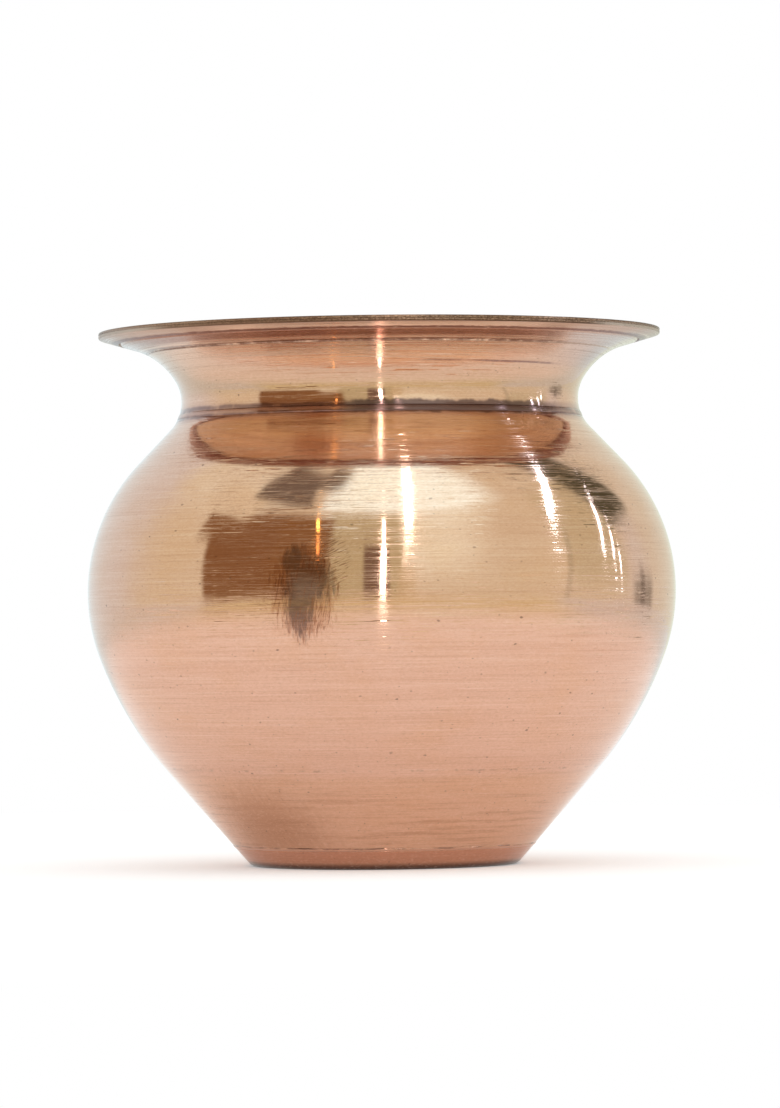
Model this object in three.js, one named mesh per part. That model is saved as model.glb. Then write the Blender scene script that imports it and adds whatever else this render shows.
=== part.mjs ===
// A lota: a round-bellied copper water pot with a cinched neck and a wide flared rim. It is built
// as the sheet-metal pot is: a spun body, a spun neck collar, a pressed dish for the bottom and a
// flat ring under the rim, brazed together. Millimetres, +Z up. It stands centred on the origin.

import { Group, LatheGeometry, Mesh, MeshStandardMaterial, Vector2 } from "three";

// The outside of the pot, from the foot up. A slope is the outline's own direction in degrees:
// 0 runs straight out from the axis and 90 straight up. A bend is the radius of a round stretch.
const FOOT_RADIUS = 23.66; // where the cone's line meets the ground
const FOOT_BEND = 1.8;
const CONE_SLOPE_DEG = 49.1;
const CREASE_HEIGHT = 16.7; // top of the straight cone
const LOWER_BELLY_BEND = 66.5;
const LOWER_BELLY_SLOPE_DEG = 69.5; // at its top, where it runs into the belly
const BELLY_BEND = 33.2;
const SHOULDER_SLOPE_DEG = 133.7;
const SHOULDER_LENGTH = 8.35;
const THROAT_BEND = 7.2;
const THROAT_SLOPE_DEG = 60.3; // at its top, where the flare starts
const FLARE_BEND = 12.8;
const FLANGE_SLOPE_DEG = 16;
const FLANGE_LENGTH = 6.35;

// Sheets, and the film of filler metal in each brazed lap, which is left as a gap
const BODY_SHEET = 0.5;
const COLLAR_SHEET = 0.5;
const DISH_SHEET = 0.6;
const RING_SHEET = 0.45;
const LAP_FILM = 0.05;

// The neck's seam: the collar's skirt steps in under the body's lip, and filler levels the step
const NECK_SEAM_DROP = 2.8; // from the throat's narrowest point to the seam's middle
const NECK_SEAM_WIDTH = 1.15;
const NECK_LAP = 3.0;

// The foot's seam: the body's lower edge steps in behind the dish's upturned rim
const FOOT_SEAM_HEIGHT = 3.3;
const FOOT_SEAM_WIDTH = 0.7;
const FOOT_LAP = 1.8;
const BRAZE_CROWN = 0.08; // how far both seams' filler stands proud

// The rim: the flange steps up by the ring's thickness, so that the underside stays smooth
const RING_WIDTH = 3.7;
const RING_STEP = 0.6; // length of that step along the flange
const GROOVE_INSET = 9; // turned groove, from the rim's edge along the underside
const GROOVE_WIDTH = 0.45;
const GROOVE_DEPTH = 0.14;

// The dish's middle is pushed up, so that the pot stands on a flat ring
const KICK_RADIUS = 17.0;
const KICK_HEIGHT = 1.0;
const KICK_STEPS = 4;

const SIDES = 64; // flat sides round every turned piece
const CHORD_ERROR = 0.06; // most that a straight step of a round stretch cuts its corner by

const rad = (degrees) => (degrees * Math.PI) / 180;

// A chain of straight and round stretches. Each leaves the last in the same direction, and a
// place on the chain is its distance from the start.
class Outline {
  constructor(r, z) {
    this.stretches = [];
    this.tip = { r, z, slope: 0 };
    this.length = 0;
  }

  add(length, curvature, steps) {
    this.stretches.push({ start: this.length, length, curvature, steps, ...this.tip });
    this.length += length;
    this.tip = this.at(this.length);
    return this;
  }

  line(length) {
    return this.add(length, 0, 1);
  }

  // Bends to a new slope: bulging where the slope grows, hollow where it falls
  arc(bend, slope) {
    const turn = rad(slope) - this.tip.slope;
    const finest = 2 * Math.acos(1 - CHORD_ERROR / bend);
    const steps = Math.ceil(Math.abs(turn) / finest);
    return this.add(bend * Math.abs(turn), Math.sign(turn) / bend, steps);
  }

  at(place) {
    const stretch = this.stretches.findLast((item) => item.start <= place) ?? this.stretches[0];
    const { start, curvature, r, z, slope } = stretch;
    const run = place - start;
    if (curvature === 0) return { r: r + run * Math.cos(slope), z: z + run * Math.sin(slope), slope };
    const end = slope + curvature * run;
    return {
      r: r + (Math.sin(end) - Math.sin(slope)) / curvature,
      z: z - (Math.cos(end) - Math.cos(slope)) / curvature,
      slope: end,
    };
  }

  // The point at a place, moved into the metal by a depth square to the outline
  point(place, depth) {
    const { r, z, slope } = this.at(place);
    return new Vector2(r - depth * Math.sin(slope), z + depth * Math.cos(slope));
  }

  // The points between two places at one depth, in the order of the places
  face(from, to, depth) {
    const [low, high] = [Math.min(from, to), Math.max(from, to)];
    const inner = this.stretches
      .flatMap(({ start, length, steps }) =>
        Array.from({ length: steps }, (_, step) => start + (length * step) / steps))
      .filter((place) => place > low && place < high);
    const places = [low, ...inner, high];
    if (from > to) places.reverse();
    return places.map((place) => this.point(place, depth));
  }
}

// The foot's bend touches the ground and the cone, so it starts inside the corner that they make
const footInset = FOOT_BEND * Math.tan(rad(CONE_SLOPE_DEG / 2));
const coneLength = CREASE_HEIGHT / Math.sin(rad(CONE_SLOPE_DEG)) - footInset;
const outline = new Outline(FOOT_RADIUS - footInset, 0);
outline.arc(FOOT_BEND, CONE_SLOPE_DEG);
const coneFoot = { place: outline.length, z: outline.tip.z };
outline
  .line(coneLength)
  .arc(LOWER_BELLY_BEND, LOWER_BELLY_SLOPE_DEG)
  .arc(BELLY_BEND, SHOULDER_SLOPE_DEG)
  .line(SHOULDER_LENGTH);
const throatPlace = outline.length + THROAT_BEND * rad(SHOULDER_SLOPE_DEG - 90);
outline
  .arc(THROAT_BEND, THROAT_SLOPE_DEG)
  .arc(FLARE_BEND, FLANGE_SLOPE_DEG)
  .line(FLANGE_LENGTH);
const rimPlace = outline.length;
const ringPlace = rimPlace - RING_WIDTH;

// The seams' places, each from its lower to its upper edge
const neckSeam = [-0.5, 0.5].map((side) => throatPlace - NECK_SEAM_DROP + side * NECK_SEAM_WIDTH);
const footSeamLow = coneFoot.place + (FOOT_SEAM_HEIGHT - coneFoot.z) / Math.sin(rad(CONE_SLOPE_DEG));
const footSeam = [footSeamLow, footSeamLow + FOOT_SEAM_WIDTH];

// Depths of the faces that meet in the laps
const skirtDepth = BODY_SHEET + LAP_FILM; // outside of the collar's skirt
const tuckDepth = DISH_SHEET + LAP_FILM; // outside of the body's tucked lower edge
const flangeDepth = RING_SHEET + LAP_FILM; // underside of the flange above the ring

// The rim is trimmed to one upright edge through all its layers
function rimPoint(depth) {
  const { r, z } = outline.tip;
  return new Vector2(r, z + depth / Math.cos(rad(FLANGE_SLOPE_DEG)));
}

// Pressed dish: the pushed-up middle, the standing ring and the upturned rim
function baseDish() {
  const kick = (lift) => Array.from({ length: KICK_STEPS + 1 }, (_, step) => {
    const across = step / KICK_STEPS;
    return new Vector2(KICK_RADIUS * across, KICK_HEIGHT * (1 - across ** 2) + lift);
  });
  return [
    ...kick(0),
    ...outline.face(0, footSeam[0], 0),
    ...outline.face(footSeam[0], 0, DISH_SHEET),
    ...kick(DISH_SHEET).reverse(),
  ];
}

// Spun body: tucked behind the dish's rim below, and ending in a square lip at the neck's seam
function bodyShell() {
  const lapEnd = footSeam[0] - FOOT_LAP;
  return closed([
    ...outline.face(lapEnd, footSeam[0], tuckDepth),
    ...outline.face(footSeam[1], neckSeam[0], 0),
    ...outline.face(neckSeam[0], footSeam[1], BODY_SHEET),
    ...outline.face(footSeam[0], lapEnd, tuckDepth + BODY_SHEET),
  ]);
}

// Spun collar: the skirt set out under the body's lip, the throat, the flare and the flange
function neckCollar() {
  const lapEnd = neckSeam[0] - NECK_LAP;
  const groove = rimPlace - GROOVE_INSET;
  return closed([
    ...outline.face(lapEnd, neckSeam[0], skirtDepth),
    ...outline.face(neckSeam[1], groove - GROOVE_WIDTH / 2, 0),
    outline.point(groove, GROOVE_DEPTH),
    ...outline.face(groove + GROOVE_WIDTH / 2, ringPlace - RING_STEP, 0),
    outline.point(ringPlace, flangeDepth),
    rimPoint(flangeDepth),
    rimPoint(flangeDepth + COLLAR_SHEET),
    outline.point(ringPlace, flangeDepth + COLLAR_SHEET),
    ...outline.face(ringPlace - RING_STEP, neckSeam[1], COLLAR_SHEET),
    ...outline.face(neckSeam[0], lapEnd, skirtDepth + COLLAR_SHEET),
  ]);
}

// Flat ring let in under the flange's edge
function rimRing() {
  return closed([
    outline.point(ringPlace, 0),
    rimPoint(0),
    rimPoint(RING_SHEET),
    outline.point(ringPlace, RING_SHEET),
  ]);
}

// Filler in the step between one sheet's square lip and the slope of the sheet behind it, with a
// low crown between the two edges of the seam
function braze([lip, slopeTop], lipSheet) {
  return closed([
    outline.point(lip, 0),
    outline.point((lip + slopeTop) / 2, -BRAZE_CROWN),
    outline.point(slopeTop, 0),
    outline.point(lip, lipSheet + LAP_FILM),
    outline.point(lip, lipSheet),
  ]);
}

function closed(points) {
  return [...points, points[0].clone()];
}

const COPPER = { color: 0xd39a76, roughness: 0.24, metalness: 1 };
const RING_COPPER = { color: 0xc48f6c, roughness: 0.34, metalness: 1 };
const FILLER = { color: 0x75605c, roughness: 0.45, metalness: 1 };

// Turns a section round the upright axis
function turned(name, section, finish) {
  const geometry = new LatheGeometry(section, SIDES).rotateX(Math.PI / 2);
  const mesh = new Mesh(geometry, new MeshStandardMaterial(finish));
  mesh.name = name;
  return mesh;
}

const lota = new Group();
lota.add(
  turned("base_dish", baseDish(), COPPER),
  turned("foot_braze", braze(footSeam, DISH_SHEET), FILLER),
  turned("body_shell", bodyShell(), COPPER),
  turned("neck_braze", braze(neckSeam, BODY_SHEET), FILLER),
  turned("neck_collar", neckCollar(), COPPER),
  turned("rim_ring", rimRing(), RING_COPPER),
);

export default lota;
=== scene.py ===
"""A lota: a round-bellied copper water pot, on a pale floor in soft light.

Metres, +Z up. The pot stands on the origin, and the camera looks along +Y.
"""

import math

import bpy
import numpy as np
from mathutils import Matrix, Vector


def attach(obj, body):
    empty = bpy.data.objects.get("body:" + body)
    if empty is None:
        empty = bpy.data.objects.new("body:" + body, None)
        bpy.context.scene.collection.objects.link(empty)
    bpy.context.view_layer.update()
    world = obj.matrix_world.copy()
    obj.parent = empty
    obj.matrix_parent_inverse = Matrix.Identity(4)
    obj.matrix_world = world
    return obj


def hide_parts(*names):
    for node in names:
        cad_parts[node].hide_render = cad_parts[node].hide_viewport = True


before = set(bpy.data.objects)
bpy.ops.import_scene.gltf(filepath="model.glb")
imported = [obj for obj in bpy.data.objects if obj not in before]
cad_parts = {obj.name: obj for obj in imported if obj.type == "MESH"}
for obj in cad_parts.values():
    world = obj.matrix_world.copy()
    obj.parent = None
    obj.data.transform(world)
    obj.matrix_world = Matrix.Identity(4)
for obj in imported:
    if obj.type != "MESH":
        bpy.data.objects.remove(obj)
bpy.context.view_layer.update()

# Camera: a long lens just under a metre away, a little below the pot's middle and looking up by
# a degree. It is rolled slightly, as the photograph is.
CAMERA_PLACE = (0.0, -0.9543, 0.03917)
CAMERA_YAW = math.radians(-0.0915)
CAMERA_PITCH = math.radians(0.9616)
CAMERA_ROLL = math.radians(-0.636)
LENS, FILM_HEIGHT = 174.2, 36.0

camera_data = bpy.data.cameras.new("camera")
camera_data.lens = LENS
camera_data.sensor_fit = "VERTICAL"
camera_data.sensor_height = FILM_HEIGHT
camera = bpy.data.objects.new("camera", camera_data)
camera.matrix_world = (
    Matrix.Translation(CAMERA_PLACE)
    @ Matrix.Rotation(CAMERA_YAW, 4, "Z")
    @ Matrix.Rotation(math.pi / 2 + CAMERA_PITCH, 4, "X")
    @ Matrix.Rotation(CAMERA_ROLL, 4, "Z")
)
scene = bpy.context.scene
scene.collection.objects.link(camera)
scene.camera = camera
scene.view_settings.view_transform = "Standard"


# Light: an even white room, which polished copper sees as cream walls under a bright ceiling, with
# dark cards that give its curves an outline and a few narrow lamps. A direction is an azimuth,
# 0 towards the camera and 90 to the right, and a height, both in degrees.
ROOM_WHITE = (1.0, 1.0, 1.0)
WALL_CREAM = (0.88, 0.95, 0.78)
WALL_PALE = (0.86, 1.0, 1.04)
PALE_FROM, PALE_TO = 95.0, 130.0
# Each patch: its left, right, bottom and top edge, each with the width that it fades over, then
# slant, cover and colour. Slant is how far the sides move left for each degree up from the height
# SLANT_FROM. A later patch covers an earlier one.
PATCHES = {
    "left_high": ((-125, 20), (-48, 20), (38, 14), (100, 8), 0, 1.0, (0.97, 1.12, 0.98)),
    "front_wall": ((2, 12), (47, 28), (10, 24), (95, 26), -0.35, 1.0, (1.10, 1.34, 1.22)),
    "ceiling": ((-31, 8), (62, 24), (47.5, 5), (100, 8), 0, 1.0, (1.38, 1.98, 2.12)),
    "olive_wall": ((-24, 5), (9, 5), (-8, 2), (46, 2), 0, 1.0, (0.66, 0.71, 0.49)),
    "olive_rim": ((6, 3), (13, 3), (-8, 5), (12, 5), 0, 0.8, (0.78, 0.78, 0.54)),
    "under_beside": ((9.4, 2), (14.2, 2), (24, 14), (34.6, 1), 0, 0.85, (1.25, 1.48, 1.42)),
    "over_brown": ((-58, 8), (-30, 8), (34, 4), (44.5, 3), 0.12, 0.9, (0.54, 0.45, 0.30)),
    "brown": ((-78.5, 3), (-40, 6), (-4, 4), (41, 2), 0.12, 1.0, (0.30, 0.185, 0.09)),
    "brown_right": ((-45, 6), (-21, 4), (3, 16), (42, 3), 0, 1.0, (0.31, 0.19, 0.085)),
    "brown_corner": ((-84, 3), (-60, 6), (26, 8), (37, 2), 0, 1.0, (0.30, 0.185, 0.09)),
    "over_corner": ((-94, 5), (-62, 6), (37, 2), (52, 6), 0, 1.0, (0.93, 1.02, 0.84)),
    "grey": ((-70, 5), (-34, 6), (49, 4), (70, 7), 0.4, 1.0, (0.22, 0.21, 0.18)),
    "grey_high": ((-46, 9), (-26, 12), (60, 6), (74, 7), 0, 1.0, (0.22, 0.21, 0.18)),
    "narrow": ((-7, 2), (3, 2), (-6, 4), (26, 4), 0, 1.0, (0.25, 0.20, 0.155)),
    "right_back": ((126, 20), (200, 10), (-20, 10), (100, 10), 0, 1.0, (0.85, 0.94, 0.83)),
    "right_dim": ((80, 8), (112, 8), (2, 12), (46, 10), 0, 0.8, (0.71, 0.79, 0.59)),
    "right": ((107, 6), (128, 5), (22, 5), (62, 7), 0.22, 1.0, (0.11, 0.125, 0.09)),
    "right_thin": ((85.8, 1.5), (88.6, 1.5), (-7, 6), (26, 8), -0.23, 0.35, (0.32, 0.36, 0.27)),
    "small": ((116, 6), (131, 5), (-7, 5), (3, 6), 0, 0.7, (0.20, 0.21, 0.18)),
    "small_line": ((121, 2.5), (124.5, 2.5), (-6, 5), (6, 7), 0, 0.6, (0.14, 0.13, 0.11)),
}
SLANT_FROM = 44.0
# Each lamp: azimuth and height of its two ends, then its width in degrees, brightness and colour
LAMPS = {
    "front_high": ((1.3, 41), (1.0, 24), 1.0, 9, (1.0, 1.05, 1.05)),
    "front_low": ((1.0, 24), (0.2, -3), 1.9, 14, (1.0, 1.03, 1.02)),
    "beside": ((23.7, 72), (12.2, 38), 2.7, 17, (1.0, 1.02, 1.0)),
    "beside_low": ((12.2, 38), (8.6, 14), 2.2, 0.6, (1.0, 1.1, 1.1)),
    "right": ((104, 48.5), (82, 35), 2.4, 24, (1.0, 1.36, 1.8)),
    "far_a": ((110, 31), (99.5, 16), 1.1, 10, (1.0, 1.36, 1.8)),
    "far_b": ((109, 21), (104, 11), 0.8, 8, (1.0, 1.36, 1.8)),
    "far_c": ((108.5, 13), (107, 6), 0.7, 7, (1.0, 1.36, 1.8)),
    "yellow": ((-29.2, 40.5), (-27.4, 34.5), 1.2, 6, (1.0, 0.64, 0.16)),
    "orange": ((-26.6, 30), (-25.3, 21), 1.1, 3, (1.0, 0.47, 0.15)),
}
LAMP_DISTANCE = 4.0
POT_MIDDLE = Vector((0, 0, 0.055))


def place(tree, kind, settings=None, inputs=None):
    """Adds a shader node. An input is a plain value, or the output socket that feeds it."""
    node = tree.nodes.new(kind)
    for name, value in (settings or {}).items():
        setattr(node, name, value)
    for name, value in (inputs or {}).items():
        if isinstance(value, bpy.types.NodeSocket):
            tree.links.new(value, node.inputs[name])
        else:
            node.inputs[name].default_value = value
    return node


def calc(tree, operation, *values):
    """One arithmetic step on numbers or sockets."""
    return place(tree, "ShaderNodeMath", {"operation": operation}, dict(enumerate(values))).outputs[0]


def times(tree, first, *others):
    """The product of numbers or sockets."""
    for other in others:
        first = calc(tree, "MULTIPLY", first, other)
    return first


def rise(tree, value, low, high):
    """0 below low, 1 above high and an even S-shaped rise between them; falls if high is lower."""
    inputs = {"Value": value, "From Min": low, "From Max": high}
    return place(tree, "ShaderNodeMapRange", {"interpolation_type": "SMOOTHSTEP"}, inputs).outputs[0]


def blend(tree, share, first, second):
    """Mixes two colours by a share. Sockets 6 and 7 are the mix node's colours, and 2 its result."""
    inputs = {0: share, 6: first, 7: second}
    for slot in (6, 7):
        if isinstance(inputs[slot], tuple):
            inputs[slot] = (*inputs[slot], 1.0)
    return place(tree, "ShaderNodeMix", {"data_type": "RGBA"}, inputs).outputs[2]


def axes(tree, kind="Object"):
    """The x, y and z of the object's own coordinates or its UV map, or of the world's direction."""
    spot = place(tree, "ShaderNodeTexCoord").outputs[kind]
    return place(tree, "ShaderNodeSeparateXYZ", None, {0: spot}).outputs


def bearing(tree, at):
    """The azimuth of a place in degrees: 0 is -Y and 90 is +X."""
    return calc(tree, "DEGREES", calc(tree, "ARCTAN2", at[0], times(tree, at[1], -1.0)))


def ways(azimuth, height):
    """The unit vector towards a direction: azimuth 0 is -Y and 90 is +X."""
    a, h = math.radians(azimuth), math.radians(height)
    return Vector((math.sin(a) * math.cos(h), -math.cos(a) * math.cos(h), math.sin(h)))


world = bpy.data.worlds.new("soft_room")
scene.world = world
world.use_nodes = True
sky = world.node_tree
sky.nodes.clear()
towards = axes(sky, "Generated")
azimuth = bearing(sky, towards)
height = calc(sky, "DEGREES", calc(sky, "ARCSINE", towards[2]))
pale = rise(sky, calc(sky, "ABSOLUTE", azimuth), PALE_FROM, PALE_TO)
wall = blend(sky, pale, WALL_CREAM, WALL_PALE)
for left, right, bottom, top, slant, share, colour in PATCHES.values():
    leaning = times(sky, calc(sky, "SUBTRACT", height, SLANT_FROM), slant)
    slanted = calc(sky, "ADD", azimuth, leaning)
    edges = ((slanted, left, 1), (slanted, right, -1), (height, bottom, 1), (height, top, -1))
    cover = share
    for value, (edge, soft), side in edges:
        half = side * soft / 2
        cover = times(sky, cover, rise(sky, value, edge - half, edge + half))
    wall = blend(sky, cover, wall, colour)
rays = place(sky, "ShaderNodeLightPath").outputs
plain = calc(sky, "MAXIMUM", rays["Is Camera Ray"], rays["Is Diffuse Ray"])
wall = blend(sky, plain, wall, ROOM_WHITE)
lit = place(sky, "ShaderNodeBackground", None, {"Color": wall, "Strength": 1.0})
place(sky, "ShaderNodeOutputWorld", None, {"Surface": lit.outputs[0]})

for name, (upper, lower, width, bright, colour) in LAMPS.items():
    upper, lower = ways(*upper), ways(*lower)
    towards_lamp = (upper + lower).normalized()
    side_way = upper.cross(lower).normalized()
    up_way = towards_lamp.cross(side_way)
    lamp_data = bpy.data.lights.new(name, "AREA")
    lamp_data.shape = "RECTANGLE"
    lamp_data.size = LAMP_DISTANCE * math.radians(width)
    lamp_data.size_y = LAMP_DISTANCE * 2 * math.tan(upper.angle(lower) / 2)
    lamp_data.color = colour
    lamp_data.energy = bright * math.pi * lamp_data.size * lamp_data.size_y
    lamp = bpy.data.objects.new(name, lamp_data)
    turn_to = Matrix((side_way, up_way, towards_lamp)).transposed().to_4x4()
    lamp.matrix_world = Matrix.Translation(POT_MIDDLE + towards_lamp * LAMP_DISTANCE) @ turn_to
    lamp.visible_camera = False
    lamp.visible_diffuse = False
    scene.collection.objects.link(lamp)


# Floor: a round white table top under the pot. Near the foot it takes real light, which keeps
# the pot's shadow and its warm reflection, and farther out it runs into the white background.
FLOOR_RADIUS = 0.60
FLOOR_WHITE = 0.90
FLOOR_LIFT = 0.26  # for the camera, brings the lit floor up to plain white
FLOOR_LIFT_IN_METAL = 0.20
FLOOR_FAR_FROM, FLOOR_FAR_TO = 0.14, 0.34
FLOOR_SIDES = 96
FLOOR_IN_METAL_NEAR = (0.94, 1.0, 0.98)
FLOOR_IN_METAL_FAR = (0.86, 0.88, 0.60)
FLOOR_IN_METAL_BACK = (0.84, 0.96, 0.98)
FLOOR_WARMS_FROM, FLOOR_WARMS_TO = 0.05, 0.30
# Behind the pot the last of these colours comes in, between two values of y + FLOOR_BACK_SPREAD |x|
FLOOR_BACK_FROM, FLOOR_BACK_TO, FLOOR_BACK_SPREAD = -0.02, 0.12, 0.5
# Painted reflections: two of the lamps are painted on the table as glowing streaks, which only the pot
# sees.
# They glow stronger where the copper mirrors them twice, under the flange, and so does the table, as a
# painted highlight.
# Each streak: azimuth, half width in degrees, the distances from the pot's axis between which it
# comes up and goes, its brightness once mirrored and what more mirrorings add, the most mirrorings
# that show it, and its colour.
PAINTED_LAMP_STREAKS = {
    "front": (0.2, 0.55, (0.07, 0.16), (1.0, 2.0), 0.0, 14.0, 9, (1.0, 1.35, 1.7)),
    "front_soft": (0.2, 1.7, (0.12, 0.26), (1.0, 2.0), 0.5, 0.0, 1, (1.0, 1.15, 1.25)),
    "yellow": (-27.0, 0.45, (0.06, 0.11), (0.135, 0.155), 0.0, 10.0, 2, (1.0, 0.75, 0.2)),
}
TWICE_MIRRORED_GLOW = 0.55


def vector_calc(tree, operation, *values):
    """One step of vector arithmetic. A length comes out as a number."""
    node = place(tree, "ShaderNodeVectorMath", {"operation": operation}, dict(enumerate(values)))
    return node.outputs["Value" if operation == "LENGTH" else "Vector"]


def join(tree, *values):
    """A vector from its x, y and z."""
    return place(tree, "ShaderNodeCombineXYZ", None, dict(enumerate(values))).outputs[0]


turn = 2 * np.pi * np.arange(FLOOR_SIDES) / FLOOR_SIDES
rim_points = np.stack([FLOOR_RADIUS * np.cos(turn), FLOOR_RADIUS * np.sin(turn), 0 * turn], -1)
floor_mesh = bpy.data.meshes.new("floor")
floor_mesh.from_pydata(rim_points.tolist(), [], [list(range(FLOOR_SIDES))])
floor = bpy.data.objects.new("floor", floor_mesh)
scene.collection.objects.link(floor)

table = bpy.data.materials.new("white_table")
table.use_nodes = True
tree = table.node_tree
tree.nodes.clear()
at = axes(tree)
reach = vector_calc(tree, "LENGTH", join(tree, *at))
rays = place(tree, "ShaderNodeLightPath").outputs
by_camera, by_metal = rays["Is Camera Ray"], rays["Is Glossy Ray"]
warming = rise(tree, reach, FLOOR_WARMS_FROM, FLOOR_WARMS_TO)
warm = blend(tree, warming, FLOOR_IN_METAL_NEAR, FLOOR_IN_METAL_FAR)
behind = calc(tree, "MULTIPLY_ADD", calc(tree, "ABSOLUTE", at[0]), FLOOR_BACK_SPREAD, at[1])
warm = blend(tree, rise(tree, behind, FLOOR_BACK_FROM, FLOOR_BACK_TO), warm, FLOOR_IN_METAL_BACK)
tint = blend(tree, by_metal, ROOM_WHITE, warm)
table_azimuth = bearing(tree, at)
twice = calc(tree, "GREATER_THAN", rays["Glossy Depth"], 1.5)
painted_streak = 0.0
# Painted reflections of the lamps: emission on the table that only reflected rays show
for middle, half_width, comes, goes, once_bright, twice_bright, most, colour in PAINTED_LAMP_STREAKS.values():
    beside = calc(tree, "ABSOLUTE", calc(tree, "SUBTRACT", table_azimuth, middle))
    across = rise(tree, beside, half_width * 1.5, half_width * 0.5)
    along = times(tree, rise(tree, reach, *comes), rise(tree, reach, *goes[::-1]))
    shows = calc(tree, "LESS_THAN", rays["Glossy Depth"], most + 0.5)
    bright = calc(tree, "MULTIPLY_ADD", twice, twice_bright, once_bright)
    cover = times(tree, across, along, shows, by_metal, bright)
    tint = blend(tree, rise(tree, cover, 0.0, 1.0), tint, colour)
    painted_streak = calc(tree, "ADD", painted_streak, cover)
matt = place(tree, "ShaderNodeBsdfDiffuse", None, {"Color": (FLOOR_WHITE, FLOOR_WHITE, FLOOR_WHITE, 1)})
lifted = calc(tree, "MULTIPLY_ADD", by_camera, FLOOR_LIFT, painted_streak)
lifted = calc(tree, "MULTIPLY_ADD", by_metal, FLOOR_LIFT_IN_METAL, lifted)
lift = place(tree, "ShaderNodeEmission", None, {"Color": tint, "Strength": lifted})
near = place(tree, "ShaderNodeAddShader", None, {0: matt.outputs[0], 1: lift.outputs[0]})
# Painted highlight: the far table glows brighter where it is mirrored twice
whole = calc(tree, "ADD", painted_streak, calc(tree, "MULTIPLY_ADD", twice, TWICE_MIRRORED_GLOW, 1.0))
far = place(tree, "ShaderNodeEmission", None, {"Color": tint, "Strength": whole})
seen = calc(tree, "MAXIMUM", by_camera, by_metal)
away = times(tree, rise(tree, reach, FLOOR_FAR_FROM, FLOOR_FAR_TO), seen)
mixed = place(tree, "ShaderNodeMixShader", None, {0: away, 1: near.outputs[0], 2: far.outputs[0]})
place(tree, "ShaderNodeOutputMaterial", None, {"Surface": mixed.outputs[0]})
floor_mesh.materials.append(table)


# Body shell: the belly and shoulder, spun from one disc of copper sheet over a chuck and then
# polished in the lathe. Its lower edge tucks in behind the dish, and its lip ends at the neck.
MM = 0.001
# Every piece follows the pot's one outside line, a chain of straight and round stretches. A slope
# is the line's direction in degrees, 0 straight out from the axis and 90 straight up.
FOOT_RADIUS, FOOT_BEND = 23.66 * MM, 1.8 * MM
CONE_SLOPE, CREASE_HEIGHT = 49.1, 16.7 * MM
LOWER_BELLY_BEND, LOWER_BELLY_SLOPE = 66.5 * MM, 69.5
BELLY_BEND, SHOULDER_SLOPE, SHOULDER_LENGTH = 33.2 * MM, 133.7, 8.35 * MM
THROAT_BEND, THROAT_SLOPE = 7.2 * MM, 60.3
FLARE_BEND, FLANGE_SLOPE, FLANGE_LENGTH = 12.8 * MM, 16.0, 6.35 * MM
BODY_SHEET, DISH_SHEET, LAP_FILM = 0.5 * MM, 0.6 * MM, 0.05 * MM
NECK_SEAM_DROP, NECK_SEAM_WIDTH = 2.8 * MM, 1.15 * MM
FOOT_SEAM_HEIGHT, FOOT_SEAM_WIDTH, FOOT_LAP = 3.3 * MM, 0.7 * MM, 1.8 * MM
ROUNDS = 256  # steps round the pot
FINE_STEP, COARSE_STEP = 0.45 * MM, 0.9 * MM  # steps along the outside and the inside
EASE = 0.03 * MM  # how far from a sheet's corner its rounding starts

foot_inset = FOOT_BEND * math.tan(math.radians(CONE_SLOPE / 2))
cone_length = CREASE_HEIGHT / math.sin(math.radians(CONE_SLOPE)) - foot_inset
# Each stretch: its bend's radius, or none where it is straight, and its length or its new slope
CHAIN = [
    (FOOT_BEND, CONE_SLOPE), (None, cone_length),
    (LOWER_BELLY_BEND, LOWER_BELLY_SLOPE), (BELLY_BEND, SHOULDER_SLOPE), (None, SHOULDER_LENGTH),
    (THROAT_BEND, THROAT_SLOPE), (FLARE_BEND, FLANGE_SLOPE), (None, FLANGE_LENGTH),
]
# Each stretch's start along the line, slope in radians, r, z and curvature
stretches = [(0.0, 0.0, FOOT_RADIUS - foot_inset, 0.0, 0.0)]
for bend, measure in CHAIN:
    start, slope, r, z, _ = stretches[-1]
    if bend is None:
        curve, length = 0.0, measure
        end = slope
        r, z = r + length * math.cos(slope), z + length * math.sin(slope)
    else:
        end = math.radians(measure)
        curve = math.copysign(1 / bend, end - slope)
        length = (end - slope) / curve
        r, z = r + (math.sin(end) - math.sin(slope)) / curve, z - (math.cos(end) - math.cos(slope)) / curve
    stretches[-1] = (*stretches[-1][:4], curve)
    stretches.append((start + length, end, r, z, 0.0))
stretch_table = np.array(stretches)
cone_place, shoulder_end, rim_place = stretch_table[[1, 5, 8], 0]
throat_place = shoulder_end + THROAT_BEND * math.radians(SHOULDER_SLOPE - 90)
neck_middle = throat_place - NECK_SEAM_DROP
neck_seam = (neck_middle - NECK_SEAM_WIDTH / 2, neck_middle + NECK_SEAM_WIDTH / 2)
foot_low = cone_place + (FOOT_SEAM_HEIGHT - stretch_table[1, 3]) / math.sin(math.radians(CONE_SLOPE))
foot_seam = (foot_low, foot_low + FOOT_SEAM_WIDTH)


def outline(run, depth):
    """Points (r, z) at distances run along the outside line, moved into the metal by depth.

    Within a stretch of curvature k that starts at slope s, the slope is s + k t, and the line's
    integral gives r + (sin(s + k t) - sin s) / k and z - (cos(s + k t) - cos s) / k.
    """
    run, depth = np.broadcast_arrays(np.asarray(run, float), np.asarray(depth, float))
    which = np.clip(np.searchsorted(stretch_table[:, 0], run, "right") - 1, 0, len(stretch_table) - 1)
    start, slope, r, z, curve = stretch_table[which].T
    t = run - start
    bent = np.where(curve == 0, 1.0, curve)
    end = slope + curve * t
    r = np.where(curve == 0, r + t * np.cos(slope), r + (np.sin(end) - np.sin(slope)) / bent)
    z = np.where(curve == 0, z + t * np.sin(slope), z - (np.cos(end) - np.cos(slope)) / bent)
    return np.stack([r - depth * np.sin(end), z + depth * np.cos(end)], -1)


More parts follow.
